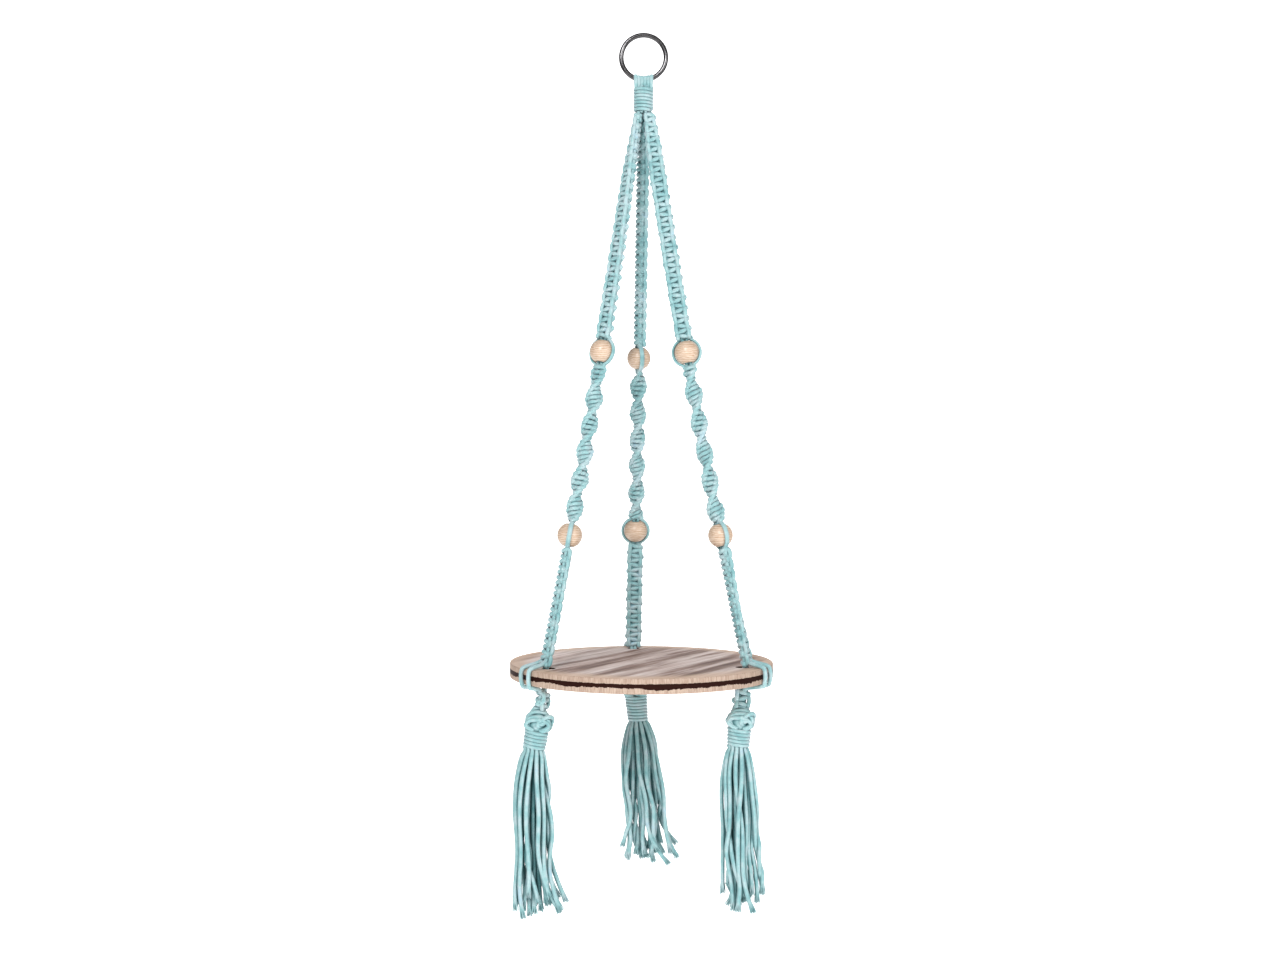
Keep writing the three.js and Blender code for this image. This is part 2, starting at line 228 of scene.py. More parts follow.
class Yarn:
    """Gathers swept cords into one mesh, whose UV map holds the turn round a cord and metres along it."""

    def __init__(self):
        self.points, self.faces, self.uvs = [], [], []

    def add(self, path, radius, sides=10, press=None):
        """A cord along the path; press is vectors along which it is flattened, as long as their share."""
        path = np.asarray(path, float)
        radii = np.broadcast_to(np.asarray(radius, float), len(path))
        start = unit(path[0] - path[1])
        end = unit(path[-1] - path[-2])
        before = [path[0] + start * radii[0] * far for far, _ in END_RINGS]
        after = [path[-1] + end * radii[-1] * far for far, _ in END_RINGS[::-1]]
        line = np.vstack([before, path, after])
        widths = np.concatenate(
            [
                [radii[0] * wide for _, wide in END_RINGS],
                radii,
                [radii[-1] * wide for _, wide in END_RINGS[::-1]],
            ]
        )
        normals, others = side_vectors(line)
        angle = (np.arange(sides) / sides * 2 * math.pi)[None, :, None]
        ring = normals[:, None] * np.cos(angle) + others[:, None] * np.sin(angle)
        if press is not None:
            press = np.vstack([press[:1]] * 3 + [press] + [press[-1:]] * 3)
            share = np.linalg.norm(press, axis=-1)[:, None]
            facing = (press / share)[:, None]
            ring = ring - facing * np.sum(ring * facing, axis=-1, keepdims=True) * (1 - share[..., None])
        first = sum(len(p) for p in self.points)
        self.points.append((line[:, None] + ring * widths[:, None, None]).reshape(-1, 3))
        along = np.concatenate([[0], np.cumsum(np.linalg.norm(np.diff(line, axis=0), axis=1))])
        self._skin(first, len(line), sides, along)

    def _skin(self, first, rings, sides, along):
        for i in range(rings - 1):
            low, high = first + i * sides, first + (i + 1) * sides
            for j in range(sides):
                k = (j + 1) % sides
                self.faces.append((low + j, low + k, high + k, high + j))
                u, w = j / sides, (j + 1) / sides
                self.uvs += [(u, along[i]), (w, along[i]), (w, along[i + 1]), (u, along[i + 1])]
        last = first + (rings - 1) * sides
        self.faces.append(tuple(range(first + sides - 1, first - 1, -1)))
        self.faces.append(tuple(range(last, last + sides)))
        self.uvs += [(j / sides, 0) for j in range(sides)]
        self.uvs += [(j / sides, along[-1]) for j in range(sides)]

    def piece(self, name, material, matrix=None):
        mesh = bpy.data.meshes.new(name)
        mesh.from_pydata(np.vstack(self.points), [], self.faces)
        layer = mesh.uv_layers.new(name="Cord")
        layer.data.foreach_set("uv", np.array(self.uvs, np.float32).ravel())
        return add_object(name, mesh, material, matrix)


def add_object(name, mesh, material, matrix=None):
    mesh.polygons.foreach_set("use_smooth", [True] * len(mesh.polygons))
    mesh.materials.append(material)
    if matrix is not None:
        mesh.transform(matrix)
    mesh.update()
    obj = bpy.data.objects.new(name, mesh)
    bpy.context.scene.collection.objects.link(obj)
    return obj


def stand_for(obj, body, slot, *nodes):
    """The piece rides on the body, and is shown in place of these nodes of the frame."""
    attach(obj, body)
    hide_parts(*nodes)


# The arms.


def arm_line(z):
    """Points of an arm's centreline at these heights, in the arm's own frame, with X outward."""
    drop = ARM_TOP - z
    out = ARM_TOP_OUT + ARM_SLOPE * drop + ARM_BOW * drop**2
    return np.stack([out, np.zeros_like(out), z], axis=-1)


def arm_axes(z, turn):
    """Unit vectors down the arm, across the flat of its knots and through it."""
    slope = ARM_SLOPE + 2 * ARM_BOW * (ARM_TOP - z)
    down = unit(np.stack([slope, np.zeros_like(slope), -np.ones_like(slope)], axis=-1))
    angle = np.radians(turn)
    flat = np.stack([np.cos(angle), np.sin(angle), np.zeros_like(angle)], axis=-1)
    across = unit(flat - down * np.sum(flat * down, axis=-1, keepdims=True))
    return down, across, np.cross(down, across)


def arm_matrix(arm):
    return Matrix.Rotation(math.radians(ARMS[arm]["direction"]), 4, "Z")


def square_knots(count):
    """The two working cords of a flat chain, as points (u, v in millimetres, s in half knots).

    One cord makes the bars in front, the other the bars behind and the rails in front of their ends.
    """
    front, back = [], []
    for k in range(count):
        g = 1 if k % 2 == 0 else -1
        front += [(-4.4 * g, 1.2, k - 0.2), (-2.6 * g, 3.3, k - 0.13), (0, 3.7, k)]
        front += [(2.6 * g, 3.3, k + 0.13), (4.4 * g, 1.2, k + 0.2)]
        front += [(6.1 * g, -0.4, k + 0.3), (6.7 * g, -0.4, k + 0.5), (6.1 * g, -0.4, k + 0.7)]
        back += [(5.2 * g, 3.7, k + 0.08), (4.8 * g, 2.3, k + 0.34), (4.3 * g, -0.4, k + 0.38)]
        back += [(3.0 * g, -3.0, k + 0.14), (0, -3.7, k), (-3.0 * g, -3.0, k - 0.14)]
        back += [(-4.3 * g, -0.4, k - 0.38), (-4.8 * g, 2.3, k - 0.34), (-5.2 * g, 3.7, k - 0.08)]
        back += [(-5.5 * g, 4.1, k + 0.5)]
    return front, back


def half_knots(count):
    """The same for a spiral chain, where each cord makes a bar in front and one behind in turn.

    Each runs down the right side from a bar in front to the next one behind, and down the left side to
    the next one in front.
    """
    cords = []
    for first in (0, 1):
        points = []
        for k in range(first, count + first - 1, 2):
            points += [(-4.2, 1.4, k - 0.06), (-2.5, 3.4, k - 0.01), (0, 3.85, k), (2.5, 3.4, k + 0.01)]
            points += [(4.2, 1.4, k + 0.06), (5.9, -0.4, k + 0.34), (6.4, -0.3, k + 0.62)]
            points += [(6.2, 1.3, k + 0.86), (5.2, 3.7, k + 1.07), (4.6, 2.2, k + 1.36)]
            points += [(4.0, -0.2, k + 1.4), (2.7, -3.1, k + 1.16), (0, -3.8, k + 1)]
            points += [(-2.7, -3.1, k + 0.84), (-4.0, -0.2, k + 0.6), (-4.6, 2.2, k + 0.64)]
            points += [(-5.2, 3.7, k + 0.93), (-6.2, 1.3, k + 1.14), (-6.4, -0.3, k + 1.38)]
            points += [(-5.9, -0.4, k + 1.66)]
        cords.append(points)
    return cords


def swollen(u):
    """A working cord's radius, which opens at the middle of the knots and again along their sides."""
    bar_half, side_out, side_half = 2.6 * MM, 5.6 * MM, 1.3 * MM
    bar = np.exp(-((u / bar_half) ** 2))
    side = np.exp(-(((np.abs(u) - side_out) / side_half) ** 2))
    return KNOT_RADIUS * (1 + 0.3 * bar + 0.2 * side)


def add_chain(name, arm, knots, shape, from_z, to_z, turns, hold=0.0, ease=1.0):
    """A chain of knots between two heights of an arm: two working cords round two fillers."""
    length = from_z - to_z
    count = max(2, round(length / HALF_KNOT))
    step = length / count
    yarn = Yarn()
    phase = rng.uniform(0, 6)

    def placed(uvs):
        """The points, the way through the chain at each, and their place across it."""
        u, v, s = np.asarray(uvs, float).T
        s = np.clip(s * step, 0, length)
        z = from_z - s
        # Knots are never pulled quite equally tight, so the width wanders.
        uneven = 1 + 0.05 * np.sin(s / step * 1.9 + phase) + 0.04 * np.sin(s / step * 0.83 + 2 * phase)
        share = np.clip((s - hold) / (length - hold), 0, 1)
        turn = turns[1] + (turns[0] - turns[1]) * (1 - share) ** ease
        size = ARM_TOP_SIZE + (1 - ARM_TOP_SIZE) * np.clip((ARM_TOP - z) / ARM_TOP_LENGTH, 0, 1)
        _, across, through = arm_axes(z, turn)
        u, v = u * size * uneven * shape[0] * MM, v * size * shape[1] * MM
        return arm_line(z) + across * u[:, None] + through * v[:, None], through, u

    for points in knots(count):
        path, _, u = placed(smooth([(u, v, s + 0.5) for u, v, s in points], 3))
        yarn.add(path, swollen(u))
    rows = np.linspace(0, count, 2 * count + 1)
    for filler_u in (-2.6, 2.6):
        path, through, u = placed([(filler_u, 0, s) for s in rows])
        yarn.add(path, FILLER_RADIUS * u / u[-1], sides=12, press=through * FILLER_PRESS * shape[1])
    return yarn.piece(name, cotton, arm_matrix(arm))


def bead_frame(arm, z, turn):
    """A bead's frame, with Z up the arm and X across the flat of the knots."""
    down, across, through = (Vector(v) for v in arm_axes(np.array(z), np.array(turn)))
    axes = Matrix((across, -through, -down)).transposed().to_4x4()
    return arm_matrix(arm) @ Matrix.Translation(Vector(arm_line(np.array(z)))) @ axes


def add_bead(arm, place, z, turn):
    matrix = bead_frame(arm, z, turn)
    prefix = f"{arm}_{place}"
    bead = turned_piece(f"{prefix}_wooden_bead", bead_outline(), 48, bead_wood, matrix)
    stand_for(bead, f"{prefix}_bead", "bead_wood", f"{prefix}_bead")

    yarn = Yarn()
    end = KNOT_END + 2 * MM
    for x in (-CORD_RADIUS, CORD_RADIUS):
        yarn.add(np.linspace((x, 0, -end), (x, 0, end), 9), CORD_RADIUS)
    fillers = yarn.piece(f"{prefix}_bead_filler_cords", cotton, matrix)
    stand_for(fillers, "hanger", "cotton_cord", f"{prefix}_bead_fillers")

    # Each working cord lies pressed flat against the bead, a hair off it, and runs into the knots.
    pressed, spread, clear = 0.64, 2.35 * MM, 0.12 * MM
    reach = BEAD_RADIUS + pressed * spread + clear
    angles = np.radians(np.linspace(-66, 66, 13))
    in_knot, end = 4.6 * MM, KNOT_END + 2.5 * MM
    for letter, side in (("a", 1), ("b", -1)):
        arc = [(side * reach * math.cos(a), 0, reach * math.sin(a)) for a in angles]
        path = smooth([(side * in_knot, 0, -end), *arc, (side * in_knot, 0, end)], 3)
        yarn = Yarn()
        yarn.add(path, spread, sides=14, press=unit(path) * pressed)
        cord = yarn.piece(f"{prefix}_working_cord_{letter}", cotton, matrix)
        stand_for(cord, "hanger", "cotton_cord", f"{prefix}_side_cord_{letter}")


def bead_outline():
    """A bead's section, from the bottom of its bore round the outside and back."""
    ease = 1.1 * MM
    start = math.acos((BEAD_BORE + ease) / BEAD_RADIUS)
    angles = np.linspace(-start, start, 25)
    outside = [(BEAD_RADIUS * math.cos(a), BEAD_RADIUS * math.sin(a)) for a in angles]
    top = outside[-1][1]
    lip = [(BEAD_BORE + 0.3 * MM, top - 0.1 * MM), (BEAD_BORE, top - 0.8 * MM)]
    return [(r, -z) for r, z in lip[::-1]] + outside + lip


def turned_piece(name, outline, sides, material, matrix):
    """A closed outline of (radius, height) turned about Z."""
    angles = np.arange(sides) / sides * 2 * math.pi
    points = [(r * math.cos(a), r * math.sin(a), z) for r, z in outline for a in angles]
    rows = len(outline)
    faces = []
    for i in range(rows):
        low, high = i * sides, (i + 1) % rows * sides
        faces += [(low + j, low + (j + 1) % sides, high + (j + 1) % sides, high + j) for j in range(sides)]
    mesh = bpy.data.meshes.new(name)
    mesh.from_pydata(points, [], faces)
    return add_object(name, mesh, material, matrix)


def add_rim_cords(arm):
    """The working cords from the end of the arm, over the shelf's rim and back under it."""
    clear = RIM_CORD_RADIUS + 0.2 * MM
    corner = clear * 0.71
    spread = 6.5 * MM
    tuck = ARMS[arm]["tuck"]
    middle = (SHELF_TOP + SHELF_BOTTOM) / 2
    for letter, side in (("a", 1), ("b", -1)):
        route = [
            (ARM_FOOT_OUT + 0.4 * MM, 3.4 * MM, SHELF_TOP + 8.5 * MM),
            (ARM_FOOT_OUT + 3.2 * MM, 4.6 * MM, SHELF_TOP + 6.4 * MM),
            (ARM_FOOT_OUT + 8 * MM, 6.0 * MM, SHELF_TOP + 4.6 * MM),
            (SHELF_RADIUS - 5 * MM, spread, SHELF_TOP + clear + 0.9 * MM),
            (SHELF_RADIUS - 1.2 * MM, spread + 0.2 * MM, SHELF_TOP + clear + 0.1 * MM),
            (SHELF_RADIUS + corner + 0.4 * MM, spread + 0.5 * MM, SHELF_TOP + corner - 1 * MM),
            (SHELF_RADIUS + clear + 0.9 * MM, spread + 0.7 * MM, SHELF_TOP - 3.4 * MM),
            (SHELF_RADIUS + clear + 1.1 * MM, spread + 0.7 * MM, middle),
            (SHELF_RADIUS + clear + 0.6 * MM, spread + 0.5 * MM, SHELF_BOTTOM + 2.6 * MM),
            (SHELF_RADIUS + corner, spread, SHELF_BOTTOM - corner + 0.2 * MM),
            (SHELF_RADIUS - 2.5 * MM, spread, SHELF_BOTTOM - clear - 0.1 * MM),
            (SHELF_RADIUS - 7 * MM, spread - 1 * MM, SHELF_BOTTOM - clear - 1.0 * MM),
            (HOLE_OUT + tuck + 6.5 * MM, 3.8 * MM, SHELF_BOTTOM - clear - 2.9 * MM),
            (HOLE_OUT + tuck + 2.5 * MM, 2.6 * MM, SHELF_BOTTOM - clear - 6.6 * MM),
        ]
        yarn = Yarn()
        yarn.add(smooth([(out, side * y, z) for out, y, z in route], 5), RIM_CORD_RADIUS)
        cord = yarn.piece(f"{arm}_rim_working_cord_{letter}", cotton, arm_matrix(arm))
        bend_into_neck(cord, f"{arm}_rim_cord_{letter}")


def add_hole_cords(arm):
    yarn = Yarn()
    for side in (-1, 1):
        route = [
            (ARM_FOOT_OUT, side * 1.9 * MM, ARM_FOOT + 4 * MM),
            (HOLE_OUT + 3.4 * MM, side * 1.9 * MM, SHELF_TOP),
            (HOLE_OUT + 2.8 * MM, side * 2.0 * MM, (SHELF_TOP + SHELF_BOTTOM) / 2),
            (HOLE_OUT + 2.8 * MM, side * 1.9 * MM, SHELF_BOTTOM + 1 * MM),
            (HOLE_OUT + ARMS[arm]["tuck"], side * 1.5 * MM, NECK_PIVOT - 1.5 * MM),
        ]
        yarn.add(smooth(route, 6), CORD_RADIUS)
    cords = yarn.piece(f"{arm}_hole_filler_cords", cotton, arm_matrix(arm))
    bend_into_neck(cords, f"{arm}_hole_cords")


def bend_into_neck(cord, node):
    """The cord's placement is taken into its points, and it is shown in place of this node of the frame."""
    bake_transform(cord)
    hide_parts(node)


def add_arm(arm):
    top, upper, lower, shelf = ARMS[arm]["turns"]
    hold, over = ARMS[arm]["hold"], ARMS[arm]["over"]
    # Each chain's top and bottom, the turns there, and its hold and ease where it has them.
    flat = (ARM_TOP, UPPER_BEAD + KNOT_END, (top, upper), 0, UPPER_EASE)
    spiral = (UPPER_BEAD - KNOT_END, LOWER_BEAD + KNOT_END, (upper, lower), hold)
    last = (LOWER_BEAD - KNOT_END, ARM_FOOT - 2 * MM, (lower + over, shelf + over))
    chains = (
        ("upper", square_knots, UPPER_SHAPE, *flat),
        ("spiral", half_knots, SPIRAL_SHAPE, *spiral),
        ("lower", square_knots, LOWER_SHAPE, *last),
    )
    for place, *rest in chains:
        chain = add_chain(f"{arm}_{place}_chain", arm, *rest)
        stand_for(chain, "hanger", "cotton_cord", f"{arm}_{place}_sennit")
    add_bead(arm, "upper", UPPER_BEAD, upper)
    add_bead(arm, "lower", LOWER_BEAD, lower)
    add_rim_cords(arm)
    add_hole_cords(arm)
    add_tassel(arm)


# The tassels. Each is built about its pivot, with its axes along the frame's own, then tilted.


def tilt(degrees):
    """A tilt towards +X and towards -Y."""
    to_x, to_front = (math.radians(a) for a in degrees)
    return Matrix.Rotation(math.hypot(to_x, to_front), 4, Vector((-to_front, -to_x, 0)))


def neck_matrix(arm):
    pivot = arm_matrix(arm) @ Vector((HOLE_OUT + ARMS[arm]["tuck"], 0, NECK_PIVOT))
    return Matrix.Translation(pivot) @ tilt(ARMS[arm]["lean"])


def tassel_matrix(arm):
    return neck_matrix(arm) @ Matrix.Translation((0, 0, -NECK_LENGTH))


def skirt_matrix(arm):
    """The skirt's frame, at the middle of the wrap's lower end."""
    top = tassel_matrix(arm) @ Vector((0, 0, TASSEL_WRAP_BOTTOM))
    return Matrix.Translation(top) @ tilt(ARMS[arm]["hang"])


def wrap_path(radius, top, bottom, turns):
    """A gathering wrap's coil, with its two ends tucked in."""
    steps = 28
    count = round(turns * steps)
    t = np.linspace(0, turns, count + 1)
    r = radius * (1 + 0.012 * np.sin(2 * math.pi * t * 0.37 + 1))
    angle = 2 * math.pi * t
    coil = np.stack([r * np.cos(angle), r * np.sin(angle), top + (bottom - top) * t / turns], axis=-1)
    inner = radius * 0.62
    start = [(inner * 0.9, -inner * 0.55, top + 1 * MM)]
    last = 2 * math.pi * turns + 0.5
    end = [(inner * math.cos(last), inner * math.sin(last), bottom)]
    return np.vstack([start, coil, end])


def add_neck(arm):
    """The last knots under the shelf: a short flat chain on a straight line."""
    count = 3  # of half knots
    top, bottom = -1.6 * MM, -18.6 * MM
    step = (top - bottom) / count
    yarn = Yarn()
    wide, thick = NECK_SHAPE
    for points in square_knots(count):
        u, v, s = smooth([(u, v, s + 0.5) for u, v, s in points], 3).T
        path = np.stack([u * wide * MM, -v * thick * MM, top - s * step], axis=-1)
        yarn.add(path, swollen(path[:, 0]))
    for side in (-1, 1):
        ends = (side * 2.4 * MM, 0, top + 0.5 * MM), (side * 2.4 * MM, 0, bottom)
        yarn.add(np.linspace(*ends, 8), FILLER_RADIUS * 0.9)
    turn = Matrix.Rotation(math.radians(ARMS[arm]["neck_turn"]), 4, "Z")
    neck = yarn.piece(f"{arm}_neck_chain", cotton, neck_matrix(arm) @ turn)
    stand_for(neck, f"{arm}_neck", "cotton_cord", f"{arm}_neck_knots")


def overhand_knot(centre, size, turn):
    """An overhand knot's line, with its ends leaving up and down."""
    t = np.linspace(0.32, 2 * math.pi - 0.32, 40) + math.pi / 2
    x = np.sin(t) + 2 * np.sin(2 * t)
    z = np.cos(t) - 2 * np.cos(2 * t)
    y = -np.sin(3 * t)
    flat = np.stack([x, y, z], axis=-1) * size
    spin = np.array(Matrix.Rotation(turn, 3, "Y"))
    return flat @ spin.T + np.asarray(centre)


def add_tassel_head(arm, matrix):
    """The folded cords over the neck's end, and the arm's own ends knotted before and behind them."""
    foot = HEAD_TOP - ARMS[arm]["head"] - 1 * MM
    tall = ARMS[arm]["head"] / FRONT_HEAD
    # Each arch's place in front, half width, top, and where its foot stands, in millimetres.
    arches = (
        (2.4, 6.0, -3.4, 9.2, 1.6),
        (5.4, 8.2, -6.2, 8.2, 4.6),
        (7.8, 10.4, -10.2, 6.2, 7.2),
        (9.2, 10.6, -14.2, 3.4, 8.6),
    )
    yarn = Yarn()
    for front in (-1, 1):
        for y, half, z, foot_x, foot_y in arches:
            shift, drop = rng.uniform(-0.9, 0.9), rng.uniform(-0.8, 0.8)
            slant = rng.uniform(-1.2, 1.2)
            z = HEAD_TOP / MM + (z + drop - HEAD_TOP / MM) * tall
            middle = (foot / MM + z) / 2
            points = [
                (-foot_x, front * foot_y, foot / MM),
                (-half * 1.02 + shift, front * (foot_y + y) / 2, middle - 1 + slant),
                (-half * 0.98 + shift, front * y * 0.95, z - 2.4 * tall + slant),
                (-half * 0.62 + shift, front * y, z + 0.2 + slant * 0.6),
                (0, front * y * 1.05, z + 0.9),
                (half * 0.62 + shift, front * y, z - 0.2 - slant * 0.6),
                (half * 0.98 + shift, front * y * 0.95, z - 2.6 * tall - slant),
                (half * 1.02 + shift, front * (foot_y + y) / 2, middle - 1 - slant),
                (foot_x, front * foot_y, foot / MM),
            ]
            yarn.add(smooth(np.array(points) * MM, 4), CORD_RADIUS)
    for front, turn in ((-1, 2.3), (1, -0.7)):
        centre = (2.4 * MM, front * 9.2 * MM, (HEAD_TOP + foot) / 2 - 1.8 * MM)
        yarn.add(overhand_knot(centre, 1.25 * MM * math.sqrt(tall), turn), CORD_RADIUS)
    # The loop at the side: x and y in millimetres, and how far down the head it is, as a share.
    ear = [
        (2.5, -8.6, 0.5),
        (7, -10.2, 0.3),
        (11.6, -8.0, 0.24),
        (13.6, -3.0, 0.36),
        (13.2, -1.4, 0.6),
        (12.2, -4.8, 0.84),
        (8.8, -8.6, 0.92),
        (4.6, -9.0, 0.99),
    ]
    placed = [(x * MM, y * MM, HEAD_TOP + (foot - HEAD_TOP) * down) for x, y, down in ear]
    yarn.add(smooth(placed, 4), CORD_RADIUS)
    widths = np.array([2.4, 6.2, 8.4, 9.4, 9.4, 9.0]) * MM  # of the core that fills the arches
    core = np.linspace((0, 0, HEAD_TOP - 0.8 * MM), (0, 0, foot), len(widths))
    yarn.add(core, widths, sides=16)
    head = yarn.piece(f"{arm}_tassel_folded_cords", cotton, matrix)
    stand_for(head, f"{arm}_tassel", "cotton_cord", f"{arm}_tassel_head")


def add_tassel_wrap(arm, matrix):
    low, high = TASSEL_WRAP_BOTTOM + 0.2 * MM, HEAD_TOP - ARMS[arm]["head"] + 1 * MM
    yarn = Yarn()
    turns = (high - low - 2 * WRAP_CORD_RADIUS) / WRAP_PITCH
    path = wrap_path(1.0, high - WRAP_CORD_RADIUS, low + WRAP_CORD_RADIUS, turns)
    down = (high - path[:, 2]) / (high - low)
    path[:, :2] *= (ARMS[arm]["wrap"] * (1 - down) + TASSEL_WRAP_RADIUS * down - WRAP_CORD_RADIUS)[:, None]
    yarn.add(path, WRAP_CORD_RADIUS)
    wrap = yarn.piece(f"{arm}_tassel_gathering_wrap", cotton, matrix)
    stand_for(wrap, f"{arm}_tassel", "cotton_cord", f"{arm}_tassel_wrap")


# A tassel's strands lie in three rings, of this size and with so many strands. Each of the outer ring's
# is a free cord of its own.
RINGS = ((1, 13), (0.62, 8), (0.26, 5))
FREE_STRANDS = RINGS[0][1]
STRAND_ROWS = 34  # of points along a strand
STRAND_TOP = 6 * MM  # where a strand starts, inside the wrap, from the skirt's top
# Half the skirt's width by the distance below the wrap, both in millimetres.
SKIRT_DROP = (0, 8, 18, 40, 100, 150, 175)
SKIRT_HALF = (8.8, 12.8, 15.8, 16.8, 17.2, 18.4, 19.6)


def strand_lines(full, drift, flare, long):
    """The centrelines of one tassel's strands, which wander and are then pushed apart.

    Full, drift, flare and long are the arm's own, as ARMS says. Lengths are in millimetres till the end.
    """
    turn = rng.uniform(0, 2 * math.pi)
    rows = np.linspace(0, 1, STRAND_ROWS)
    places = [(ring, place, count) for ring, count in RINGS for place in range(count)]
    lines = np.empty((len(places), STRAND_ROWS, 3))
    for i, (ring, place, count) in enumerate(places):
        # One in four is cut shorter.
        length = long * (rng.uniform(146, 160) if i % 4 else rng.uniform(138, 150))
        drop = rows * length
        fullness = ring * rng.uniform(0.88, 1.05)
        phase, wave = rng.uniform(0, 6.28), rng.uniform(1.1, 2.6)
        angle = turn + place / count * 2 * math.pi + (0.3 if ring < 1 else 0)
        # It winds round the others one way or the other, and wavers on its way down.
        angle = angle + rng.uniform(-1.0, 1.0) * rows**1.1
        angle = angle + rng.uniform(0.14, 0.42) * np.sin(rows * wave * 6.28 + phase) * np.sqrt(rows)
        widened = 1 + (full - 1) * np.clip(drop / 60, 0, 1)
        radius = np.interp(drop, SKIRT_DROP, SKIRT_HALF) * fullness * widened
        radius = np.where(rows == 0, 8.6 * ring, radius)
        # Its last stretch strays outward or inward.
        late_from, late_span = 0.72, 0.28
        late = np.clip((rows - late_from) / late_span, 0, 1) ** 1.5
        radius = radius + rng.uniform(-1.0, 7.0) * ring * late
        sway = rng.uniform(0.8, 2.8) * np.sin(rows * wave * 6.9 + phase * 2) * np.clip(rows * 3, 0, 1)
        aside = drift * np.clip(drop / 25, 0, 1) + flare * late * ring * (1 + np.cos(angle)) / 2
        lines[i, :, 0] = (radius + sway) * np.cos(angle) + aside
        lines[i, :, 1] = (radius + sway) * np.sin(angle)
        lines[i, :, 2] = -drop
    return part_strands(lines * MM)


def part_strands(lines):
    """Pushes strands apart where they are nearer than a diameter in the same row, and smooths them.

    The same row lies at another height in a longer strand, so some strands still overlap where they
    cross low down.
    """
    fixed = lines[:, :1].copy()
    rounds, wanted, strength = 60, STRAND_DIAMETER * 1.02, 0.25
    kept, shared = 0.84, 0.08
    for _ in range(rounds):
        gap = lines[:, None, :, :2] - lines[None, :, :, :2]
        far = np.linalg.norm(gap, axis=-1) + np.eye(len(lines))[:, :, None]
        push = np.clip(wanted - far, 0, None) * strength
        lines[..., :2] += np.sum(gap / far[..., None] * push[..., None], axis=1)
        lines[:, 1:-1, :2] = kept * lines[:, 1:-1, :2] + shared * (lines[:, :-2, :2] + lines[:, 2:, :2])
        lines[:, :1] = fixed
    return lines


def fray(yarn, end, along):
    """The threads that a strand's cut end opens into. Every third one lies inside the others."""
    across = unit(np.cross(along, (0.3, 0.9, 0.1)))
    other = np.cross(along, across)
    threads = 14
    for i in range(threads):
        angle = i / threads * 2 * math.pi + rng.uniform(-0.25, 0.25)
        out = (across * math.cos(angle) + other * math.sin(angle)) * (0.45 if i % 3 == 0 else 1)
        length = rng.uniform(0.8, 2.6) * MM
        root = end - along * 9 * MM + out * 1.4 * MM
        middle = end - along * 3.5 * MM + out * rng.uniform(2.0, 2.4) * MM
        tip = end + along * length + out * rng.uniform(2.6, 3.4) * MM
        yarn.add(smooth([root, middle, tip], 3), np.linspace(0.85, 0.3, 7) * MM, sides=5)


def add_strands(arm, matrix):
    """The tassel's loose strands, with cut and frayed ends. The outer ones are free cords."""
    inner = Yarn()
    spread = [ARMS[arm][key] for key in ("full", "drift", "flare", "long")]
    for i, line in enumerate(strand_lines(*spread)):
        start = (*line[0, :2] * 0.92, STRAND_TOP)
        path = smooth([start, *line], 2)
        radius = np.full(len(path), STRAND_DIAMETER / 2)
        radius[:3] *= 0.9
        radius[-3:] *= (0.9, 0.7, 0.45)
        yarn = Yarn() if i < FREE_STRANDS else inner
        yarn.add(path, radius)
        fray(yarn, path[-1], unit(path[-1] - path[-3]))
        if i >= FREE_STRANDS:
            continue
        strand = yarn.piece(f"{arm}_strand_{i + 1}", strand_cotton, matrix)
        stand_for(strand, f"{arm}_tassel", "cotton_cord", f"{arm}_tassel_skirt")
    inside = inner.piece(f"{arm}_inner_strands", strand_cotton, matrix)
    stand_for(inside, f"{arm}_tassel", "cotton_cord", f"{arm}_tassel_skirt")


def add_tassel(arm):
    add_neck(arm)
    matrix = tassel_matrix(arm)
    add_tassel_head(arm, matrix)
    add_tassel_wrap(arm, matrix)
    add_strands(arm, skirt_matrix(arm))


# The top.


def add_ring():
    wire, around = RING_WIRE / 2, 24
    angles = np.arange(around) / around * 2 * math.pi
    outline = [(RING_RADIUS + wire * math.cos(a), wire * math.sin(a)) for a in angles]
    matrix = Matrix.Translation((0, 0, RING_CENTRE)) @ Matrix.Rotation(math.pi / 2, 4, "X")
    ring = turned_piece("steel_ring", outline, 120, steel, matrix)
    stand_for(ring, "ring", "steel", "ring")


def add_cord_loops():
    """Six cords folded over the ring, side by side."""
    pressed = 0.45  # thickness over width where a cord lies on the wire
    reach = RING_WIRE / 2 + pressed * LOOP_CORD_RADIUS + 0.1 * MM
    count, pitch = 6, 3.3 * MM
    low = SWING_PIVOT - 4.6 * MM
    yarn = Yarn()
    for i in range(count):
        x = (i - (count - 1) / 2) * pitch
        wire_z = RING_CENTRE - math.sqrt(RING_RADIUS**2 - x**2)
        half = [(x * 0.9, -3.9 * MM, low), (x * 0.97, -4.3 * MM, wire_z - 4 * MM)]
        over = [(x, -reach * math.cos(a), wire_z + reach * math.sin(a)) for a in np.radians((0, 35, 70))]
        back = [(px, -y, z) for px, y, z in (half + over)[::-1]]
        path = smooth([*half, *over, *back], 4)
        share = np.interp(path[:, 2], (wire_z - 6 * MM, wire_z - 1 * MM), (1, pressed))
        press = unit(path - (x, 0, wire_z)) * (0, 1, 1) * share[:, None]
        yarn.add(path, LOOP_CORD_RADIUS, sides=12, press=press)
    loops = yarn.piece("folded_cords", cotton)
    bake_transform(loops)
    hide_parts("cord_loops")


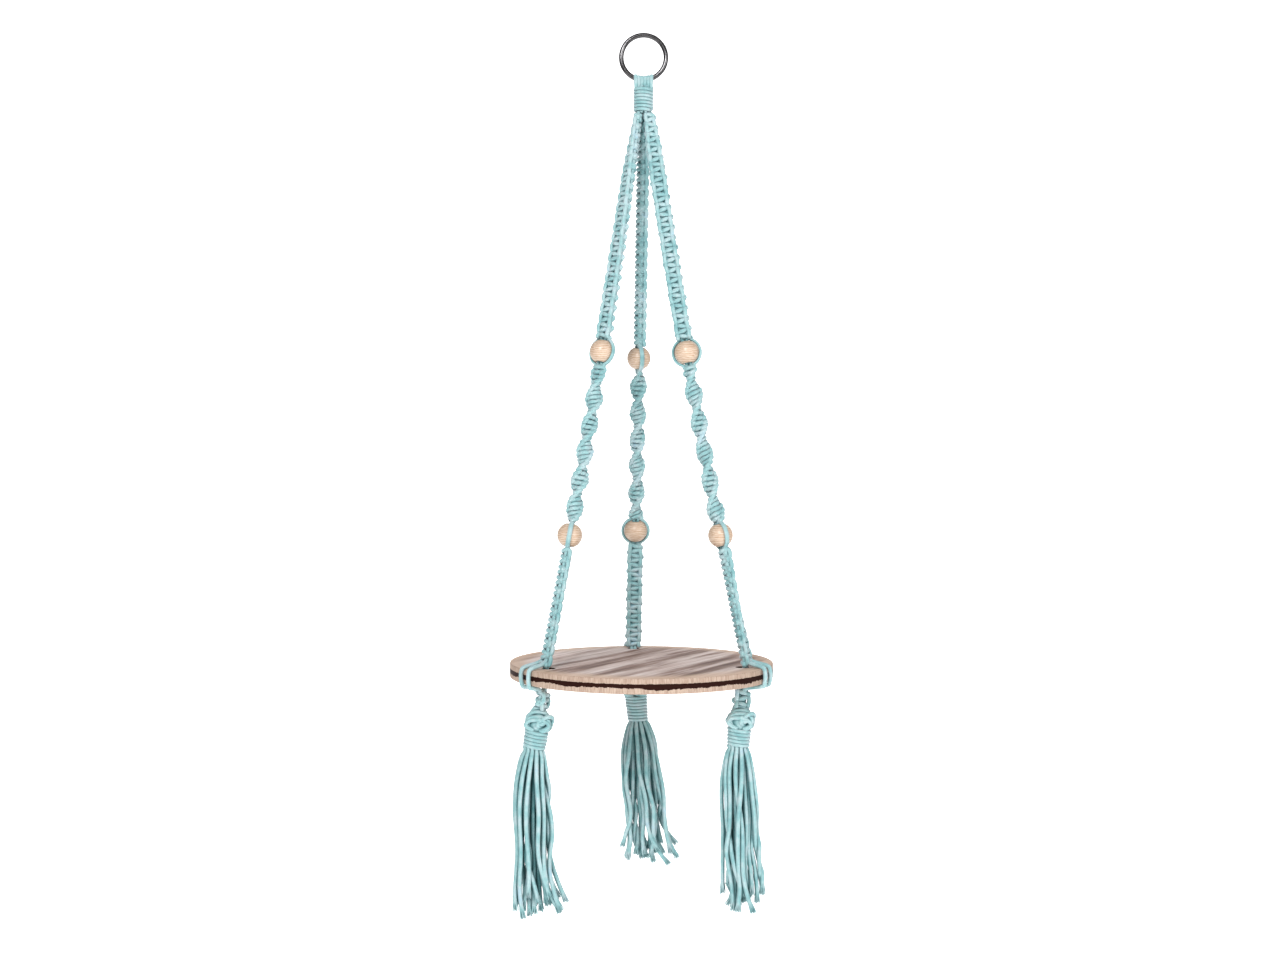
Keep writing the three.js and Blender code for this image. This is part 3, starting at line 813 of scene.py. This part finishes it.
def add_top_wrap():
    """The wrap's coil, and inside it the ends of the twelve strands that it binds."""
    yarn = Yarn()
    radius = WRAP_RADIUS + 0.9 * MM - WRAP_CORD_RADIUS
    high, low = WRAP_HIGH.z + 4.2 * MM, WRAP_LOW.z
    turns = (high - low - 2 * WRAP_CORD_RADIUS) / WRAP_PITCH
    yarn.add(wrap_path(radius, high - WRAP_CORD_RADIUS, low + WRAP_CORD_RADIUS, turns), WRAP_CORD_RADIUS)
    for ring, count in ((6.2 * MM, 9), (2.3 * MM, 3)):
        for i in range(count):
            a = i / count * 2 * math.pi + 0.2
            x, y = ring * math.cos(a), ring * math.sin(a)
            yarn.add(np.linspace((x, y, high - 1 * MM), (x, y, low - 0.2 * MM), 6), 1.8 * MM, sides=8)
    wrap = yarn.piece("top_gathering_wrap", cotton)
    stand_for(wrap, "head", "cotton_cord", "top_wrap")


def add_shelf():
    """The board with its eased edges and holes, as a filled outline made thick."""
    ease = 1.3 * MM
    curve = bpy.data.curves.new("round_board", "CURVE")
    curve.dimensions = "2D"
    curve.fill_mode = "BOTH"
    curve.extrude = (SHELF_TOP - SHELF_BOTTOM) / 2 - ease
    curve.bevel_depth = ease
    curve.bevel_resolution = 3
    curve.offset = -ease
    circles = [(0, 0, SHELF_RADIUS, 160)]
    circles += [(*(arm_matrix(arm) @ Vector((HOLE_OUT, 0, 0))).xy, HOLE_RADIUS, 32) for arm in ARMS]
    for x, y, radius, count in circles:
        spline = curve.splines.new("POLY")
        spline.points.add(count - 1)
        for i, point in enumerate(spline.points):
            a = i / count * 2 * math.pi
            point.co = (x + radius * math.cos(a), y + radius * math.sin(a), 0, 1)
        spline.use_cyclic_u = True
    carrier = bpy.data.objects.new("round_board_curve", curve)
    bpy.context.scene.collection.objects.link(carrier)
    carrier.location.z = (SHELF_TOP + SHELF_BOTTOM) / 2
    bpy.context.view_layer.update()
    mesh = bpy.data.meshes.new_from_object(carrier.evaluated_get(bpy.context.evaluated_depsgraph_get()))
    mesh.name = "round_board"
    mesh.materials.clear()
    matrix = carrier.matrix_world.copy()
    bpy.data.objects.remove(carrier)
    board = add_object("round_board", mesh, board_wood, matrix)
    flat = [abs(p.normal.z) < 0.999 for p in mesh.polygons]
    mesh.polygons.foreach_set("use_smooth", flat)
    stand_for(board, "hanger", "shelf_wood", "shelf")


# Materials.


def new_material(name, **inputs):
    material = bpy.data.materials.new(name)
    material.use_nodes = True
    shader = material.node_tree.nodes["Principled BSDF"]
    for key, value in inputs.items():
        shader.inputs[key.replace("_", " ")].default_value = value
    return material, shader


class Nodes:
    """A short way to write a material's nodes."""

    def __init__(self, material):
        self.tree = material.node_tree

    def add(self, kind, links=None, **settings):
        node = self.tree.nodes.new(kind)
        for key, value in settings.items():
            setattr(node, key, value)
        for socket, value in (links or {}).items():
            if isinstance(value, bpy.types.NodeSocket):
                self.tree.links.new(value, node.inputs[socket])
            else:
                node.inputs[socket].default_value = value
        return node

    def math(self, operation, a, b=0.0):
        return self.add("ShaderNodeMath", {0: a, 1: b}, operation=operation).outputs[0]

    def noise(self, vector, scale, detail=3.0, roughness=0.5):
        links = {"Vector": vector, "Scale": scale, "Detail": detail, "Roughness": roughness}
        return self.add("ShaderNodeTexNoise", links).outputs["Fac"]

    def ramp(self, factor, *stops):
        node = self.add("ShaderNodeValToRGB", {"Fac": factor})
        elements = node.color_ramp.elements
        for i, (position, colour) in enumerate(stops):
            element = elements[i] if i < 2 else elements.new(position)
            element.position = position
            element.color = (*colour, 1)
        return node.outputs["Color"]

    def mix(self, factor, a, b, blend="MIX"):
        node = self.add("ShaderNodeMix", data_type="RGBA", blend_type=blend)
        for index, value in ((0, factor), (6, a), (7, b)):
            if isinstance(value, bpy.types.NodeSocket):
                self.tree.links.new(value, node.inputs[index])
            elif index == 0:
                node.inputs[index].default_value = value
            else:
                node.inputs[index].default_value = (*value, 1)
        return node.outputs[2]

    def bump(self, height, strength, distance):
        links = {"Height": height, "Strength": strength, "Distance": distance}
        return self.add("ShaderNodeBump", links).outputs["Normal"]

    def link(self, a, b):
        self.tree.links.new(a, b)


def make_cotton(name, sheen, gloss, reach, shade):
    """Braided cotton cord, whose plaits run round the UV map's cord.

    Sheen is the weight of its fuzz, gloss is its specular level, reach is how far painted shade spreads
    from a neighbour, and shade is the painted tone where neighbours close it in.
    """
    material, shader = new_material(
        name,
        Sheen_Weight=sheen,
        Sheen_Roughness=0.45,
        Sheen_Tint=(0.95, 0.91, 1.0, 1),
        Specular_IOR_Level=gloss,
    )
    n = Nodes(material)
    cord = n.add("ShaderNodeSeparateXYZ", {"Vector": n.add("ShaderNodeUVMap", uv_map="Cord").outputs[0]})
    round_cord, along = cord.outputs["X"], cord.outputs["Y"]
    place = n.add("ShaderNodeTexCoord").outputs["Object"]
    turns = n.math("MULTIPLY", round_cord, 6 * math.pi)
    run = n.math("MULTIPLY", along, 2 * math.pi / (2.6 * MM))
    rise = n.math("SINE", n.math("ADD", turns, run))
    fall = n.math("SINE", n.math("SUBTRACT", turns, run))
    plait = n.math("MULTIPLY", rise, fall)
    fibre = n.noise(place, 2600, 2)
    tone = n.ramp(
        n.noise(place, 70, 3, 0.6),
        (0.3, (0.175, 0.35, 0.365)),
        (0.48, (0.28, 0.445, 0.455)),
        (0.62, (0.395, 0.5, 0.515)),
        (0.72, (0.335, 0.475, 0.54)),
    )
    # Painted shade on the braid: the plait's grooves are darkened and its crowns left light.
    painted_plait_shade = n.mix(n.math("MULTIPLY", n.math("ADD", plait, 1), 0.5), (0.74, 0.86, 0.87), (1, 1, 1))
    tone = n.mix(1.0, tone, painted_plait_shade, "MULTIPLY")
    # Painted shade in creases: where ambient occlusion finds neighbours close, the colour darkens towards
    # shade.
    open_air = n.add("ShaderNodeAmbientOcclusion", {"Distance": reach}, samples=8).outputs["AO"]
    painted_crease_shade = n.ramp(open_air, (0.15, shade), (0.75, (1, 1, 1)))
    n.link(n.mix(1.0, tone, painted_crease_shade, "MULTIPLY"), shader.inputs["Base Color"])
    height = n.math("ADD", plait, n.math("MULTIPLY", fibre, 0.9))
    n.link(n.bump(height, 0.4, 0.25 * MM), shader.inputs["Normal"])
    n.link(n.math("ADD", n.math("MULTIPLY", fibre, 0.2), 0.58), shader.inputs["Roughness"])
    return material


def make_bead_wood():
    """Pale turned wood with its grain along the frame's X."""
    material, shader = new_material("pale_bead_wood", Coat_Weight=0.25, Coat_Roughness=0.25)
    n = Nodes(material)
    place = n.add("ShaderNodeTexCoord").outputs["Object"]
    stretched = n.add("ShaderNodeMapping", {"Vector": place, "Scale": (1.0, 3.2, 5.0)}).outputs[0]
    rings = n.add(
        "ShaderNodeTexWave",
        {"Vector": stretched, "Scale": 34, "Distortion": 6, "Detail": 3, "Detail Scale": 2.2},
        wave_type="BANDS",
        bands_direction="Z",
    ).outputs["Fac"]
    flecks = n.noise(n.add("ShaderNodeMapping", {"Vector": place, "Scale": (1, 8, 8)}).outputs[0], 420, 3)
    tone = n.ramp(
        rings,
        (0.08, (0.61, 0.495, 0.395)),
        (0.55, (0.555, 0.42, 0.315)),
        (0.92, (0.43, 0.285, 0.19)),
    )
    spots = n.ramp(flecks, (0.35, (0.8, 0.73, 0.66)), (0.62, (1, 1, 1)))
    n.link(n.mix(0.85, tone, spots, "MULTIPLY"), shader.inputs["Base Color"])
    n.link(n.math("ADD", n.math("MULTIPLY", flecks, 0.25), 0.32), shader.inputs["Roughness"])
    n.link(n.bump(n.math("ADD", rings, flecks), 0.12, 0.2 * MM), shader.inputs["Normal"])
    return material


BOARD_GRAIN = 60  # direction of the board's grain from +X, in degrees


def make_board_wood():
    """Greyed wood with long streaks; its edge is paler and shows a dark layer inside."""
    material, shader = new_material("greyed_board_wood", Specular_IOR_Level=0.08)
    n = Nodes(material)
    place = n.add("ShaderNodeTexCoord").outputs["Object"]
    along = n.add(
        "ShaderNodeMapping", {"Vector": place, "Rotation": (0, 0, -math.radians(BOARD_GRAIN))}
    ).outputs[0]
    long_grain = n.add("ShaderNodeMapping", {"Vector": along, "Scale": (1.4, 15, 6)}).outputs[0]
    thin_grain = n.add("ShaderNodeMapping", {"Vector": along, "Scale": (5, 95, 50)}).outputs[0]
    fine_grain = n.add("ShaderNodeMapping", {"Vector": along, "Scale": (14, 520, 260)}).outputs[0]
    streaks = n.noise(long_grain, 3.0, 5, 0.6)
    lines = n.noise(thin_grain, 1.0, 4, 0.65)
    grain = n.noise(fine_grain, 1.0, 4, 0.6)
    face = n.ramp(
        n.math("ADD", n.math("MULTIPLY", streaks, 0.75), n.math("MULTIPLY", lines, 0.25)),
        (0.38, (0.17, 0.105, 0.085)),
        (0.455, (0.31, 0.21, 0.18)),
        (0.52, (0.6, 0.49, 0.455)),
        (0.6, (0.76, 0.665, 0.64)),
        (0.68, (0.46, 0.345, 0.3)),
    )
    face = n.mix(0.7, face, n.ramp(lines, (0.36, (0.7, 0.6, 0.56)), (0.52, (1, 1, 1))), "MULTIPLY")
    face = n.mix(0.6, face, n.ramp(grain, (0.35, (0.66, 0.58, 0.54)), (0.6, (1, 1, 1))), "MULTIPLY")

    spot = n.add("ShaderNodeVectorMath", {0: place, 1: (1, 1, 0)}, operation="MULTIPLY").outputs[0]
    # The top face turns paler and warmer towards the rim, its inner edge wandering with the grain.
    out = n.add("ShaderNodeVectorMath", {0: spot}, operation="LENGTH").outputs["Value"]
    out = n.math("ADD", out, n.math("MULTIPLY", n.math("SUBTRACT", lines, 0.5), 24 * MM))
    inside, outside = SHELF_RADIUS - 28 * MM, SHELF_RADIUS - 4 * MM
    margin = {"Value": out, "From Min": inside, "From Max": outside, "To Max": 0.8}
    near_rim = n.add("ShaderNodeMapRange", margin, interpolation_type="SMOOTHSTEP").outputs[0]
    face = n.mix(near_rim, face, (0.62, 0.44, 0.325))

    saw = n.noise(n.add("ShaderNodeMapping", {"Vector": place, "Scale": (1, 1, 0.12)}).outputs[0], 900, 2)
    rim = n.ramp(saw, (0.3, (0.29, 0.2, 0.155)), (0.65, (0.445, 0.345, 0.275)))
    height = n.add("ShaderNodeSeparateXYZ", {"Vector": place}).outputs["Z"]
    thickness = SHELF_TOP - SHELF_BOTTOM
    teeth = n.math("MULTIPLY", n.math("SUBTRACT", n.noise(place, 330, 4, 0.65), 0.5), 4.4 * MM)
    waves = n.math("MULTIPLY", n.math("SUBTRACT", n.noise(place, 28, 2), 0.5), 7 * MM)
    calm = n.math("ADD", height, n.math("MULTIPLY", teeth, 0.4))
    ragged = n.math("ADD", height, n.math("ADD", teeth, waves))
    upper = n.math("LESS_THAN", calm, SHELF_TOP - 0.35 * thickness)
    lower = n.math("GREATER_THAN", ragged, SHELF_TOP - 0.66 * thickness)
    rim = n.mix(n.math("MULTIPLY", upper, lower), rim, (0.016, 0.003, 0.001))

    normal = n.add("ShaderNodeTexCoord").outputs["Normal"]
    upright = n.math("ABSOLUTE", n.add("ShaderNodeSeparateXYZ", {"Vector": normal}).outputs["Z"])
    is_face = n.add("ShaderNodeMapRange", {"Value": upright, "From Min": 0.75, "From Max": 0.98}).outputs[0]
    tone = n.mix(is_face, rim, face)
    # The walls of the three holes, and a thin ring round each on both faces, are near-black brown.
    bored = 0.0
    for arm in ARMS:
        centre = arm_matrix(arm) @ Vector((HOLE_OUT, 0, 0))
        gap = n.add("ShaderNodeVectorMath", {0: spot, 1: centre}, operation="DISTANCE").outputs["Value"]
        bored = n.math("MAXIMUM", bored, n.math("LESS_THAN", gap, HOLE_RADIUS + 0.7 * MM))
    n.link(n.mix(bored, tone, (0.03, 0.014, 0.009)), shader.inputs["Base Color"])
    n.link(n.math("ADD", n.math("MULTIPLY", grain, 0.3), 0.45), shader.inputs["Roughness"])
    relief = n.math("ADD", n.math("MULTIPLY", grain, 0.7), n.math("MULTIPLY", saw, 0.5))
    n.link(n.bump(relief, 0.25, 0.4 * MM), shader.inputs["Normal"])
    return material


def make_steel():
    """Dark polished nickel with faint drawing marks along the wire."""
    material, shader = new_material("dark_nickel", Metallic=1.0, Coat_Weight=0.3, Coat_Roughness=0.08)
    n = Nodes(material)
    place = n.add("ShaderNodeTexCoord").outputs["Object"]
    marks = n.noise(place, 700, 3)
    tone = n.ramp(n.noise(place, 90, 2), (0.3, (0.045, 0.044, 0.047)), (0.7, (0.085, 0.082, 0.084)))
    n.link(tone, shader.inputs["Base Color"])
    n.link(n.math("ADD", n.math("MULTIPLY", marks, 0.06), 0.22), shader.inputs["Roughness"])
    n.link(n.bump(marks, 0.005, 0.1 * MM), shader.inputs["Normal"])
    return material


# The studio.


def add_backdrop():
    """A pale floor that curves up into a wall behind the object."""
    floor_z, wall_y, radius, half_width, top = -1.5, 5.0, 1.5, 3.4, 2.1
    section = [(-3.0, floor_z), (wall_y - radius, floor_z)]
    for a in np.radians(np.linspace(-90, 0, 16)):
        section.append((wall_y - radius + radius * math.cos(a), floor_z + radius + radius * math.sin(a)))
    section.append((wall_y, top))
    points = [(x, y, z) for y, z in section for x in (-half_width, half_width)]
    faces = [(2 * i, 2 * i + 1, 2 * i + 3, 2 * i + 2) for i in range(len(section) - 1)]
    mesh = bpy.data.meshes.new("backdrop")
    mesh.from_pydata(points, [], faces)
    pale, _ = new_material(
        "pale_paper",
        Base_Color=(0.9, 0.9, 0.9, 1),
        Roughness=0.95,
        Emission_Color=(1, 1, 1, 1),
        Emission_Strength=0.9,
    )
    add_object("backdrop", mesh, pale)


def add_light(name, location, target, size, power):
    data = bpy.data.lights.new(name, "AREA")
    data.shape = "DISK"
    data.size = size
    data.energy = power
    light = bpy.data.objects.new(name, data)
    light.location = location
    light.rotation_euler = (Vector(target) - Vector(location)).to_track_quat("-Z", "Y").to_euler()
    bpy.context.scene.collection.objects.link(light)


def add_studio():
    scene = bpy.context.scene
    scene.view_settings.view_transform = "Standard"
    world = bpy.data.worlds.new("white_room")
    world.use_nodes = True
    n = Nodes(world)
    seen = n.add("ShaderNodeLightPath").outputs["Is Camera Ray"]
    strength = n.add("ShaderNodeMapRange", {"Value": seen, "To Min": 0.38, "To Max": 1.0}).outputs[0]
    background = world.node_tree.nodes["Background"]
    background.inputs["Color"].default_value = (1, 1, 1, 1)
    n.link(strength, background.inputs["Strength"])
    scene.world = world
    add_backdrop()
    middle = (0, 0, -0.45)
    add_light("key", (-1.2, -4.4, 1.9), middle, 1.5, 218)
    add_light("fill", (2.9, -3.3, 0.6), middle, 2.2, 88)


add_camera()
# The last two arguments are how far the cottons' painted crease shade reaches and its painted tone.
cotton = make_cotton("aqua_cotton", 0.6, 0.35, 7 * MM, (0.25, 0.51, 0.53))
strand_cotton = make_cotton("aqua_strand_cotton", 0.18, 0.2, 15 * MM, (0.02, 0.24, 0.26))
bead_wood = make_bead_wood()
board_wood = make_board_wood()
steel = make_steel()
for arm in ARMS:
    add_arm(arm)
add_shelf()
add_ring()
add_cord_loops()
add_top_wrap()
add_studio()
bpy.context.view_layer.update()
